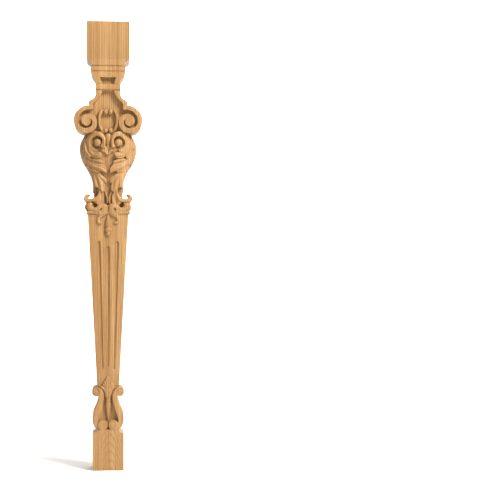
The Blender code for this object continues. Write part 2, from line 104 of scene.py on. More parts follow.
def stack(name, levels):
    """A closed square column, its corners drawn up through levels of (height, half width, half depth)."""
    form = bmesh.new()
    ring = bmesh.ops.create_circle(form, segments=4, radius=1)["verts"]
    bmesh.ops.rotate(form, cent=(0, 0, 0), matrix=Matrix.Rotation(math.pi / 4, 3, "Z"), verts=ring)
    rim = form.edges[:]
    for count, (z, half, deep) in enumerate(levels):
        if count:
            raised = bmesh.ops.extrude_edge_only(form, edges=rim)["geom"]
            ring = [part for part in raised if isinstance(part, bmesh.types.BMVert)]
            rim = [part for part in raised if isinstance(part, bmesh.types.BMEdge)]
        for vert in ring:
            vert.co = (math.copysign(half, vert.co.x), math.copysign(deep, vert.co.y), z)
    bmesh.ops.holes_fill(form, edges=[edge for edge in form.edges if edge.is_boundary])
    return keep(form, name, None)


def moulding(foot, top, first, last, curve, steps):
    """Levels of a moulding between two half sizes; curve gives the way out, 0 to 1, at each share up."""
    levels = []
    for i in range(steps + 1):
        share = i / steps
        out = curve(share)
        levels.append((foot + (top - foot) * share, first[0] + (last[0] - first[0]) * out,
                       first[1] + (last[1] - first[1]) * out))
    return levels


torus = moulding(TAPER_TOP + 0.0001, TORUS_TOP - 0.0001, (TAPER_HEAD_HALF, TAPER_HEAD_HALF),
                 (TORUS_HALF, TORUS_HALF), lambda t: math.sqrt(max(0, 1 - (2 * t - 1) ** 2)), 12)
bell = moulding(BELL_FOOT + 0.0014, UPPER_COLLAR_FOOT - 0.001, (0.0225, 0.040), (0.0337, 0.040),
                lambda t: 0.5 - 0.5 * math.cos(math.pi * min(1, t * 1.06)), 12)
cavetto = moulding(CAVETTO_FOOT + 0.0009, BLOCK_FOOT - ARRIS, (0.031, CAVETTO_DEPTH),
                   (0.0426, CAVETTO_DEPTH),
                   lambda t: math.sin(math.pi / 2 * min(1, max(0, (t - 0.1) / 0.9)) ** 1.7), 14)
foot = [(0, FOOT_HALF, FOOT_HALF),
        (FOOT_TOP - ARRIS, FOOT_HALF, FOOT_HALF),
        (FOOT_TOP, FOOT_HALF - ARRIS, FOOT_HALF),
        (0.0752, 0.0276, 0.0309),
        (0.0776, 0.0226, 0.0308),
        (0.0808, 0.0208, 0.0306),
        (0.0814, 0.0208, 0.0300)]
taper = [(0.0842, LYRE_GROUND_HALF, 0.0228),
         (0.0890, LYRE_GROUND_HALF, LYRE_GROUND_DEPTH),
         (0.1143, LYRE_GROUND_HALF, LYRE_GROUND_DEPTH),
         (0.1412, LYRE_GROUND_HALF * 0.8, LYRE_GROUND_DEPTH),
         (0.1633, LYRE_GROUND_HALF * 0.85, LYRE_GROUND_DEPTH),
         (0.1690, TAPER_FOOT_HALF, TAPER_FOOT_HALF),
         (TAPER_TOP, TAPER_HEAD_HALF, TAPER_HEAD_HALF)]
core = [(TORUS_TOP, 0.033, 0.026),
        (0.5385, 0.033, 0.026),
        (0.5386, CONSOLE_HALF, CONSOLE_DEPTH + 0.0002),
        (0.5576, CONSOLE_HALF, CONSOLE_DEPTH + 0.0002),
        (0.5650, 0.0272, 0.0262),
        (BULB_FOOT, 0.0272, 0.0262),
        (0.5715, 0.026, 0.022),
        (0.6663, 0.026, 0.024)]
field = [(0.6664, FIELD_HALF, FIELD_DEPTH * 0.9),
         (0.6749, FIELD_HALF + 0.0009, FIELD_DEPTH),
         (0.735, FIELD_HALF + 0.0009, FIELD_DEPTH),
         (0.7438, 0.0247, FIELD_DEPTH),
         (0.7592, 0.022, FIELD_DEPTH)]
collar = [(0.7622, 0.0238, 0.0385),
          (COLLAR_FOOT, COLLAR_HALF - ARRIS, COLLAR_DEPTH - ARRIS),
          (COLLAR_FOOT + ARRIS, COLLAR_HALF, COLLAR_DEPTH),
          (BELL_FOOT - ARRIS, COLLAR_HALF, COLLAR_DEPTH),
          (BELL_FOOT, COLLAR_HALF - ARRIS, COLLAR_DEPTH - ARRIS),
          (BELL_FOOT + 0.0008, 0.0236, 0.0394)]
upper_collar = [(UPPER_COLLAR_FOOT - ARRIS, 0.0338, 0.0395),
                (UPPER_COLLAR_FOOT, UPPER_COLLAR_HALF - ARRIS, UPPER_COLLAR_DEPTH - ARRIS),
                (UPPER_COLLAR_FOOT + ARRIS, UPPER_COLLAR_HALF, UPPER_COLLAR_DEPTH),
                (CAVETTO_FOOT - ARRIS, UPPER_COLLAR_HALF, UPPER_COLLAR_DEPTH),
                (CAVETTO_FOOT, UPPER_COLLAR_HALF - ARRIS, UPPER_COLLAR_DEPTH - ARRIS),
                (CAVETTO_FOOT + 0.0003, 0.0325, 0.0411)]
block = [(BLOCK_FOOT, BLOCK_HALF, CAVETTO_DEPTH),
         (BLOCK_FOOT + 0.0002, BLOCK_HALF, BLOCK_HALF),
         (BLOCK_TOP - ARRIS, BLOCK_HALF, BLOCK_HALF),
         (BLOCK_TOP, BLOCK_HALF - ARRIS, BLOCK_HALF - ARRIS)]
blank = stack("blank", foot + taper + torus + core + field + collar + bell + upper_collar + cavetto
              + block)

# The bulb: the swelling that carries the leaves, sawn to its outline and rounded over from front to side.
# It is one with the blank. Its foot runs down behind the console's leaves, and its back is left smooth.
BULB_ROOT = 0.5577
BULB_TOP = 0.677
BULB_HALF = 0.0575
BULB_DEPTH = 0.035
BULB_REACH = 0.985
BULB_SIDES = 96
BULB_ROWS = 44


def smooth_line(points, spans):
    """A smooth line through the points, in spans steps between each two, with all that a point carries."""
    line = []
    last = len(points) - 1
    for i in range(last):
        a, b, c, d = points[max(i - 1, 0)], points[i], points[i + 1], points[min(i + 2, last)]
        for step in range(spans):
            t = step / spans
            line.append(tuple(
                0.5 * (2 * q + (r - p) * t + (2 * p - 5 * q + 4 * r - s) * t * t
                       + (3 * q - p - 3 * r + s) * t ** 3)
                for p, q, r, s in zip(a, b, c, d)))
    line.append(tuple(points[last]))
    return line


def curve_through(points):
    """A smooth curve through (position, value) points, as a function."""
    line = smooth_line(points, 12)

    def value(where):
        if where <= line[0][0]:
            return line[0][1]
        for (low, first), (high, second) in zip(line, line[1:]):
            if where <= high:
                return first + (second - first) * (where - low) / max(high - low, 1e-9)
        return line[-1][1]
    return value


bulb_outline = curve_through((
    (0, 0.53), (0.09, 0.555), (0.19, 0.61), (0.28, 0.695), (0.38, 0.81), (0.47, 0.9), (0.57, 0.965),
    (0.69, 1), (0.79, 0.985), (0.9, 0.905), (1, 0.79)))
bulb_swell = curve_through(((0, 0.8), (0.35, 0.9), (0.7, 1), (1, 0.93)))


def bulb_half(z):
    return BULB_HALF * bulb_outline((z - BULB_FOOT) / (BULB_TOP - BULB_FOOT))


def bulb_deep(z):
    return BULB_DEPTH * bulb_swell((z - BULB_FOOT) / (BULB_TOP - BULB_FOOT))


def bulb_power(z):
    """How square the bulb's section is: full and round above, squared off where it meets its foot."""
    return 2.6 + 4.4 * max(0, min(1, (0.612 - z) / 0.040)) ** 1.5


def bulb_front(x, z):
    """The bulb's front surface, a full curve from side to side."""
    power = bulb_power(z)
    return -bulb_deep(z) * (1 - min(abs(x) / bulb_half(z), BULB_REACH) ** power) ** (1 / power)


def bulb_edge(z):
    return BULB_REACH * bulb_half(z)


def bulb_place(turn, z):
    """A point of the bulb's skin at a turn round its upright axis and a height."""
    across, deep, share = math.cos(turn), math.sin(turn), 2 / bulb_power(z)
    return Vector((bulb_half(z) * math.copysign(abs(across) ** share, across),
                   bulb_deep(z) * math.copysign(abs(deep) ** share, deep), z))


form = bmesh.new()
bmesh.ops.create_grid(form, x_segments=BULB_SIDES, y_segments=BULB_ROWS, size=1)
for vert in form.verts:
    turn = math.pi * (vert.co.x + 1)
    vert.co = bulb_place(turn, BULB_ROOT + (BULB_TOP - BULB_ROOT) * (vert.co.y + 1) / 2)
bmesh.ops.remove_doubles(form, verts=form.verts, dist=0.00001)
bmesh.ops.holes_fill(form, edges=[edge for edge in form.edges if edge.is_boundary])
keep(form, "bulb", carving)

# The volutes: flat scrolls sawn through the full thickness of the oak, their outlines running up the neck as
# a raised rim. A spiral groove is cut into both faces with gouges, down to the sunk field between them.
VOLUTE_DEPTH = 0.040
GROOVE_FLOOR = 0.0302


def plate(name, outline, front, back, soft, group):
    """A flat outline of (x, z) points sawn through from front to back, its arrises softened if soft."""
    form = bmesh.new()
    face = form.faces.new([form.verts.new((x, front, z)) for x, z in outline])
    rim = list(face.edges)
    moved = bmesh.ops.extrude_face_region(form, geom=[face], use_keep_orig=True)
    far = [part for part in moved["geom"] if isinstance(part, bmesh.types.BMVert)]
    bmesh.ops.translate(form, vec=(0, back - front, 0), verts=far)
    bmesh.ops.recalc_face_normals(form, faces=form.faces)
    if soft:
        edges = [edge for edge in form.edges if abs(edge.verts[0].co.y - edge.verts[1].co.y) < 1e-6]
        bmesh.ops.bevel(form, geom=edges, affect="EDGES", offset=soft, segments=2, profile=0.5,
                        material=-1, clamp_overlap=True)
    return keep(form, name, group)


def round_over(s):
    """Across a strip: a half round."""
    return math.sqrt(max(0, 1 - s * s))


def strip(name, points, surface, back, along, across, section=round_over, edge=0.45, group=carving):
    """A carved strip. points give x, z, half width and height; the front is a grid laid along them, standing
    off the surface behind by the height times its section, and its sides go straight back to a plane."""
    line = smooth_line(points, 10)
    run = [0]
    for first, second in zip(line, line[1:]):
        run.append(run[-1] + math.hypot(second[0] - first[0], second[1] - first[1]))
    total = run[-1]
    near = 0.02 * total

    def at(distance):
        for i in range(len(run) - 1):
            if distance <= run[i + 1] or i == len(run) - 2:
                t = min(1, max(0, (distance - run[i]) / max(run[i + 1] - run[i], 1e-9)))
                return [a + (b - a) * t for a, b in zip(line[i], line[i + 1])]

    form = bmesh.new()
    bmesh.ops.create_grid(form, x_segments=along, y_segments=across, size=1)
    rim = [edge for edge in form.edges if edge.is_boundary]
    rows = {}
    for vert in form.verts:
        rows.setdefault(round((vert.co.x + 1) / 2 * along), []).append(vert)
    for row, verts in rows.items():
        # The rows lie closer together towards the strip's two ends, which are rounded off
        share = row / along
        share -= 0.7 * math.sin(2 * math.pi * share) / (2 * math.pi)
        distance = total * share
        x, z, half, height = at(distance)
        ahead = at(min(total, distance + near))
        behind = at(max(0, distance - near))
        length = math.hypot(ahead[0] - behind[0], ahead[1] - behind[1])
        side_x = -(ahead[1] - behind[1]) / length
        side_z = (ahead[0] - behind[0]) / length
        taper = 1
        for off, end in ((distance, line[0][2]), (total - distance, line[-1][2])):
            if off < end:
                taper = min(taper, math.sqrt(max(0.0016, 1 - (1 - off / end) ** 2)))
        for vert in verts:
            s = vert.co.y
            px = x + side_x * half * taper * s
            pz = z + side_z * half * taper * s
            rise = height * (0.6 + 0.4 * taper) * (edge + (1 - edge) * section(s))
            vert.co = (px, surface(px, pz) - rise, pz)
    walls = bmesh.ops.extrude_edge_only(form, edges=rim)
    for part in walls["geom"]:
        if isinstance(part, bmesh.types.BMVert):
            part.co.y = back
    bmesh.ops.holes_fill(form, edges=[edge for edge in form.edges if edge.is_boundary])
    return keep(form, name, group)


def flat_at(depth):
    """A flat surface, facing front at the given depth in front of the middle."""
    return lambda x, z: -depth


def drawn(side, pieces, spans=5):
    """A closed outline in metres from curves of (x, z) millimetres, x out from the middle and z up from the
    floor. Each curve runs on to the first point of the next, and they meet there at a corner."""
    outline = []
    for piece, following in zip(pieces, pieces[1:] + pieces[:1]):
        outline += smooth_line(piece + following[:1], spans)[:-1]
    return [(side * x / 1000, z / 1000) for x, z in outline]


rim_curve = ((24.5, 761.6), (24, 757), (27.6, 747), (37.7, 740))
coil_curve = ((37.7, 731.8), (45, 731.2), (50, 729.4), (55, 726.3), (60, 722), (64.8, 716), (67.5, 710),
              (68.5, 703), (68, 697), (66, 690.5), (63.5, 685.6), (60, 681.5), (55, 678.5), (50, 677.1),
              (42, 676.7), (35, 678), (30, 680.4), (25.5, 685), (22.6, 690), (21.5, 697), (22.3, 703),
              (25, 708.4))
field_curve = ((30.3, 713), (30.3, 735))
rim_inside = ((30.3, 735.4), (21, 744.3), (15, 753.2), (12.5, 761.6))
groove_outside = ((26, 723.8), (38, 723.6), (45, 722.1), (50, 719.4), (55, 714.5), (58.1, 709),
                  (59.4, 702), (58.9, 697), (56.8, 692.6), (53, 689), (48, 686.9), (43.5, 686.4),
                  (38, 687.5), (34, 690.2), (31.8, 694), (31.2, 698.5), (32.6, 702.8))
groove_inside = ((36.8, 705.6), (34.9, 703.2), (34.3, 699), (35.5, 695), (38.2, 692.3), (42, 691),
                 (45, 691.3), (49, 693.6), (52, 697), (53.1, 702), (52, 706.6), (48.3, 711.8),
                 (43.3, 714.8), (39, 715.6), (35, 715), (30, 713), (25, 708.5))
groove_end = ((22.6, 708.2), (22.6, 723.8))
for side in (-1, 1):
    plate("volute", drawn(side, (rim_curve, coil_curve, field_curve, rim_inside), 9), -VOLUTE_DEPTH,
          VOLUTE_DEPTH, 0.0005, carving)
    for face in (-1, 1):
        plate("groove", drawn(side, (groove_outside, groove_inside, groove_end), 9), face * GROOVE_FLOOR,
              face * (VOLUTE_DEPTH + 0.002), 0, cuts)

# The bell's windows: a sunk panel in the front and another in the back, just under the upper collar and
# wider there than at its foot. Each is cut into the same oak with a chisel, and its floor is left flat.
WINDOW_FLOOR = 0.031
window = ((-0.47, 0.53), (-0.33, 0.01), (0.33, 0.01), (0.47, 0.53))
outline = [(u * UPPER_COLLAR_HALF, BELL_FOOT + v * (UPPER_COLLAR_FOOT - BELL_FOOT)) for u, v in window]
for face in (-1, 1):
    plate("window", outline, face * WINDOW_FLOOR, face * 0.046, 0, cuts)

# The ring between the volutes: two bowed rods, each creased along its crest, and a pair of beads above and
# below. It stands on the sunk field in the same oak, its rods rounded with a gouge and its beads cut round.
VOLUTE_HEIGHT = 0.063
BEAD_RADIUS = 0.0050


def zone(foot, height, half):
    """Turns a carver's drawing into place: hundredths of the half width across and of the height up."""
    def place(side, drawing):
        return [(side * u * half / 100, foot + v * height / 100, w * half / 100, h * half / 100)
                for u, v, w, h in drawing]
    return place


def egg(name, centre, radii):
    """A bead or an eye, worked round with a gouge."""
    form = bmesh.new()
    bmesh.ops.create_uvsphere(form, u_segments=36, v_segments=24, radius=1)
    bmesh.ops.rotate(form, cent=(0, 0, 0), matrix=Matrix.Rotation(math.pi / 2, 3, "X"), verts=form.verts)
    bmesh.ops.scale(form, vec=radii, verts=form.verts)
    bmesh.ops.translate(form, vec=centre, verts=form.verts)
    return keep(form, name, carving)


def creased(s):
    """Across a rod: a round with a shallow crease along its crest."""
    return math.sqrt(max(0, 1 - abs(s) ** 2.2)) - 0.13 * math.exp(-((s - 0.1) / 0.2) ** 2)


on_volutes = zone(BULB_TOP, VOLUTE_HEIGHT, FIELD_HALF)
rod = ((30, 74, 9, 24), (44, 69, 11.5, 30), (56, 57, 12, 32), (60, 42, 12, 33), (56, 25, 12, 33),
       (44, 11, 11, 30), (28, 1, 9, 22), (15, -3, 6, 14))
for side in (-1, 1):
    strip("ring", on_volutes(side, rod), flat_at(FIELD_DEPTH), 0, along=70, across=16, section=creased,
          edge=0.3)
    for v, rise in ((67, 1.25), (7.5, 1.2)):
        x, z = on_volutes(side, ((16.2, v, 0, 0),))[0][:2]
        egg("ring bead", (x, -FIELD_DEPTH - 0.002, z), (BEAD_RADIUS, 0.0080, BEAD_RADIUS * rise))

# The bulb's leaves and scrolls: a scroll with its eye on each side, and leaves that sweep in from the outer
# edge. They are carved from the bulb's own oak, lapping like folded sheets, with ridges along their lobes
# and two small slits drilled near each side.
LEAF_RISE = 1.2
RIB_RISE = 1.15
RIB_WIDTH = 0.84
EYE_X = 20.5
EYE_Z = 657.5
EYE_RADIUS = 8.0
EYE_SEAT_RADIUS = 8.6
SCROLL_FLOOR = 0.0305
SLIT_FACE = 0.0175
DRILL_DEPTH = 0.006
CLEAR_OF_CARVING = -0.052


def nearest(line):
    """Of the line, at a point: how far off its nearest place is, and the value that it carries there."""
    ends = numpy.array(line, dtype=float)
    start, step = ends[:-1, :2], ends[1:, :2] - ends[:-1, :2]
    size = numpy.maximum((step ** 2).sum(1), 1e-12)
    carried = ends[:, -1]

    def find(x, z):
        off = numpy.array((x, z)) - start
        share = numpy.clip((off * step).sum(1) / size, 0, 1)
        gap = ((off - step * share[:, None]) ** 2).sum(1)
        i = int(gap.argmin())
        return math.sqrt(gap[i]), carried[i] + (carried[i + 1] - carried[i]) * share[i]
    return find


def relief(name, outline, surface, back, spine, crown, soft, folds, cell=1.1, limit=None, seat=None):
    """A carved sheet. Its outline is filled and cut into small cells, whose points stand off the surface
    behind by the spine's height, a crown that falls away towards the rim, and the folds' ridges and hollows,
    in millimetres. A seat of (x, z, radius, height) is left level to take an eye."""
    if limit:
        outline = [(max(-limit(z), min(limit(z), x)), z) for x, z in outline]
    base = nearest(smooth_line(spine, 8))
    rim = nearest([(abs(x) * 1000, z * 1000) for x, z in outline + outline[:1]])
    lines = [(nearest(smooth_line(line, 8)), width) for width, line in folds]
    form = bmesh.new()
    form.faces.new([form.verts.new((x, 0, z)) for x, z in outline])
    for axis in (0, 2):
        low = min(vert.co[axis] for vert in form.verts)
        high = max(vert.co[axis] for vert in form.verts)
        count = max(2, round((high - low) * 1000 / cell))
        for i in range(1, count):
            middle, normal = Vector((0, 0, 0)), Vector((0, 0, 0))
            middle[axis] = low + (high - low) * i / count
            normal[axis] = 1
            bmesh.ops.bisect_plane(form, geom=form.verts[:] + form.edges[:] + form.faces[:], dist=0.00003,
                                   plane_co=middle, plane_no=normal)
    for vert in form.verts:
        x, z = abs(vert.co.x) * 1000, vert.co.z * 1000
        inward = min(1, rim(x, z)[0] / soft)
        height = base(x, z)[1] + crown * math.sqrt(1 - (1 - inward) ** 2)
        for line, width in lines:
            off, rise = line(x, z)
            height += rise * math.exp(-(off / width) ** 2)
        if seat and math.hypot(x - seat[0], z - seat[1]) < seat[2]:
            height = seat[3]
        vert.co.y = surface(vert.co.x, vert.co.z) - height / 1000
    walls = bmesh.ops.extrude_edge_only(form, edges=[edge for edge in form.edges if edge.is_boundary])
    for part in walls["geom"]:
        if isinstance(part, bmesh.types.BMVert):
            part.co.y = back
    bmesh.ops.holes_fill(form, edges=[edge for edge in form.edges if edge.is_boundary])
    return keep(form, name, carving)


def drilled(s):
    """Across a drilled slit: straight down to its floor."""
    return -1


bulb_leaves = (
    ("lower leaf",
     (((18, 601), (14, 594.5), (10, 590.8), (7.2, 588), (4, 584.8)),
      ((2.5, 580.8), (3.2, 578.5), (5, 577)),
      ((7.6, 576.3), (6.2, 573.5), (5.3, 570), (5.2, 566), (6.8, 561.8), (9.5, 558.9)),
      ((12, 557.2), (13.2, 559.6), (15.6, 562.8), (19, 565.4)), ((21.9, 567), (24, 568.1), (27, 568.2)),
      ((31, 567.8), (31.6, 579), (34.5, 588), (39, 598), (45, 607)), ((45, 611), (30, 611))),
     ((37, 604, 0.6), (30, 594, 2.4), (22, 583, 3.8), (15, 570, 4.8), (12, 560, 5.4)), 1.1, 2.2,
     ((2.8, ((28, 602, 0.2), (20.5, 590, 1.0), (15.5, 576, 1.4), (12, 561, 1.2))),
      (2.4, ((22, 598, 0.2), (13, 588, 0.9), (5, 581.8, 0.8))),
      (1.7, ((18, 590, -0.2), (12.4, 581.6, -1.0), (8, 576.8, -1.3))),
      (2.2, ((34, 594, 0.2), (28.6, 583, 0.9), (24.5, 571, 1.0))),
      (1.7, ((27, 593, -0.2), (22, 580, -1.0), (19, 567, -1.4))))),
    ("middle leaf",
     (((36, 626.5), (24, 625.6), (17, 624), (12.5, 621.8)), ((9, 619.3), (9.2, 617.3)),
      ((10.9, 615.7), (8.3, 613), (5.2, 608.5), (3, 602.5)),
      ((3, 596.2), (5.5, 596.9), (9, 598.3), (13, 600)), ((16.6, 601), (17.2, 599)),
      ((18.4, 596.8), (22, 597.3), (28, 599), (36, 605)),
      ((44, 613), (50, 622), (54.5, 636), (56.5, 650), (54, 664)),
      ((49, 669), (49.4, 657), (48.4, 646), (45.6, 636), (40.5, 629))),
     ((53, 664, -0.4), (52.5, 650, 0.6), (50, 635, 1.8), (42, 620, 3), (28, 612.5, 4), (16, 609, 4.8),
      (6, 601, 5.8)),
     1.2, 2.2,
     ((2.1,
       ((52, 648, 0.4), (48.5, 638, 0.9), (43, 630.5, 1.1), (36, 625, 1.2), (27, 622, 1.3),
        (18, 620.2, 1.3), (11.5, 618.3, 1.0))),
      (1.7,
       ((48, 640, -0.3), (42, 629, -1.0), (35, 622, -1.4), (26, 617.8, -1.5), (18, 616, -1.5),
        (12, 615.4, -1.3))),
      (2.8,
       ((52, 636, 0.3), (46, 624, 1.0), (36, 614.5, 1.5), (25, 608.8, 1.7), (14, 604.6, 1.7),
        (5, 598.4, 1.3))),
      (1.7,
       ((49, 624, -0.3), (42, 614, -1.0), (33, 606.6, -1.4), (25, 602.8, -1.5), (17.5, 600.2, -1.6))),
      (1.8, ((46, 616, 0.2), (38, 607, 0.9), (29, 601.8, 1.0), (20, 598.8, 0.8))))),
    ("outer fold",
     (((44, 674), (43.8, 660), (43, 650), (40, 640.2), (36.5, 635)), ((34.2, 631.5), (34.8, 628.6)),
      ((37, 624.6), (42, 627.2), (47.2, 634.6), (49.8, 646), (50.6, 658), (49.2, 671))),
     ((47, 672, 0.4), (47, 658, 3), (45.5, 645, 3.8), (38, 630, 5)), 1.6, 2.6,
     ((1.9, ((46, 668, 0.4), (47, 655, 1), (44.6, 641, 1.4), (37, 629.5, 1.2))),)),
    ("scroll",
     (((24, 680.6), (15, 679.2), (9.8, 675), (6, 669), (4.6, 663), (5, 655)),
      ((6.2, 647.6), (9, 646.2), (12, 647.2)), ((15.2, 650.2), (19, 649)), ((20.5, 643.6), (20.8, 641.5)),
      ((22.6, 638.4), (18.5, 638.8), (14.9, 638.2), (12.9, 636.2), (12.8, 633.2), (14.6, 629.2),
       (18, 626.4), (25, 625.6), (30, 627.2)),
      ((34.8, 630.8), (40.4, 639.5), (43.6, 650), (44.3, 660), (42, 669.4), (36, 677), (30, 680))),
     ((15.5, 632, 6.4), (26, 633.5, 5.4), (34.5, 640.5, 4.6), (38.8, 651, 4.3), (38.6, 663, 4.7),
      (33.5, 672, 5.4), (24, 675.8, 6), (13.4, 671, 6.2), (8.2, 662, 6.2), (8.8, 651, 5.4)),
     1.3, 2.4,
     ((3.0,
       ((37.5, 646, 0.6), (38.8, 660, 1.2), (33.5, 670.6, 1.4), (24, 675, 1.5), (13, 670.6, 1.5),
        (7.8, 661, 1.5), (8.6, 650, 1.2))),
      (2.4, ((37, 641, 0.3), (30, 633.6, 1.1), (21, 631.4, 1.3), (16, 632.6, 0.9))),
      (1.8, ((33.5, 640.5, -0.2), (28.5, 637.6, -0.9), (22.8, 637.4, -1.3))),
      (1.7, ((38, 637.5, -0.2), (32, 630.4, -0.7), (24, 628.4, -0.6))))),
)
scroll_groove = (((12.6, 655.6), (11.3, 660), (12.4, 665), (16, 669.2), (21, 671), (25, 670.3),
                  (30, 666.8), (33.2, 662), (34, 657), (33.1, 653), (30, 648.6), (25.5, 645.2)),
                 ((21.5, 643.6), (18.5, 645.4)),
                 ((17.5, 650), (20.5, 649.5), (25, 650.8), (28, 654.8), (28.4, 659), (26.5, 662.8),
                  (22.5, 665.3), (18, 665.1), (14.6, 662.8), (12.9, 659.2)))
slits = (((50.9, 647.4, 0.4), (50.9, 645, 0.7), (50.1, 642.6, 0.5)),
         ((45.2, 614.8, 0.45), (44.1, 613.1, 0.8), (42.6, 611.2, 0.4)))
for side in (-1, 1):
    for order, (name, pieces, spine, crown, soft, folds) in enumerate(bulb_leaves):
        spine = [(x, z, LEAF_RISE * rise) for x, z, rise in spine]
        ribs = [(RIB_WIDTH * width, [(x, z, RIB_RISE * rise) for x, z, rise in line])
                for width, line in folds]
        back = -(0.1 + 0.04 * order) * BULB_DEPTH
        seat = (EYE_X, EYE_Z, EYE_SEAT_RADIUS, 2) if name == "scroll" else None
        relief(name, drawn(side, pieces), bulb_front, back, spine, crown, soft, ribs, cell=0.85,
               limit=bulb_edge, seat=seat)
    plate("scroll groove", drawn(side, scroll_groove), -SCROLL_FLOOR, -0.048, 0, cuts)
    for slit in slits:
        line = [(side * x / 1000, z / 1000, half / 1000, DRILL_DEPTH) for x, z, half in slit]
        strip("drilled slit", line, flat_at(SLIT_FACE), CLEAR_OF_CARVING, along=16, across=4,
              section=drilled, edge=0, group=cuts)
    eye_front = bulb_front(EYE_X / 1000, EYE_Z / 1000) - 0.0022
    egg("scroll eye", (side * EYE_X / 1000, eye_front, EYE_Z / 1000),
        (EYE_RADIUS / 1000, 0.0054, EYE_RADIUS / 1000))


# The tulip between the scrolls: a slim drop that opens into three hollow petals.
# It is worked in the bulb's own oak, standing as high as the scrolls beside it.
def turned(name, profile, depth):
    """A round drop, (radius, z) from top to bottom, about an upright axis at the given depth."""
    form = bmesh.new()
    verts = [form.verts.new((radius, 0, z)) for radius, z in smooth_line(profile, 5)]
    edges = [form.edges.new(pair) for pair in zip(verts, verts[1:])]
    bmesh.ops.spin(form, geom=verts + edges, cent=(0, 0, 0), axis=(0, 0, 1), angle=2 * math.pi, steps=40,
                   use_merge=True)
    bmesh.ops.remove_doubles(form, verts=form.verts, dist=0.00001)
    bmesh.ops.translate(form, vec=(0, depth, 0), verts=form.verts)
    return keep(form, name, carving)


tulip = ((0, 676.4), (3, 675.8), (5.4, 673.2), (6.3, 669), (5.8, 663.5), (4.6, 657.5), (3.6, 651.5),
         (2.6, 645.5), (0, 642))
turned("tulip", [(r / 1000, z / 1000) for r, z in tulip], -BULB_DEPTH - 0.0005)
petal = (((0, 652), (4.6, 650), (6, 645), (6.9, 640.5)),
         ((5.6, 635.8), (2.6, 633.9), (0, 633.6), (-2.6, 633.9)),
         ((-5.6, 635.8), (-6.9, 640.5), (-6, 645), (-4.6, 650)))
relief("tulip petal", drawn(1, petal), bulb_front, -0.2 * BULB_DEPTH, ((0, 652, 3.4), (0, 634, 5.2)),
       0.8, 1.4, ((3.6, ((0, 650, -2.4), (0, 640.8, -3.4))),), cell=0.8)
side_petal = (((5, 651), (9, 648.6), (12.2, 648.2)), ((14, 644.8), (12.6, 641), (9.6, 638.8), (6.6, 639)),
              ((5, 642),))
for side in (-1, 1):
    relief("side petal", drawn(side, side_petal), bulb_front, -0.22 * BULB_DEPTH,
           ((6, 651, 3.4), (11, 641, 4.4)), 0.8, 1.4, ((2.2, ((7.5, 650, -1.2), (9.6, 644.4, -2))),),
           cell=0.8)

# The console under the bulb: stems, broad leaves with hooked ends, rolled leaves and curled heads that lap
# over the taper's top. All of it is carved in the same oak, free of the core only at the tips.
CONSOLE_HEIGHT = 0.056
HEAD_FACE = 0.0465
on_console = zone(TAPER_TOP, CONSOLE_HEIGHT, CONSOLE_HALF)
console_flat = flat_at(CONSOLE_DEPTH)
head_flat = flat_at(TAPER_HEAD_HALF - 0.002)


def roll(name, centre, radius, front, back, rounding):
    """A round roll lying front to back, its front end rounded over."""
    form = bmesh.new()
    bmesh.ops.create_cone(form, cap_ends=True, segments=40, radius1=radius, radius2=radius,
                          depth=back - front)
    bmesh.ops.rotate(form, cent=(0, 0, 0), matrix=Matrix.Rotation(math.pi / 2, 3, "X"), verts=form.verts)
    bmesh.ops.translate(form, vec=(centre[0], (front + back) / 2, centre[1]), verts=form.verts)
    near = [edge for edge in form.edges if all(vert.co.y < front + 1e-5 for vert in edge.verts)]
    bmesh.ops.bevel(form, geom=near, affect="EDGES", offset=radius * rounding, segments=6, profile=0.5,
                    material=-1)
    return keep(form, name, carving)


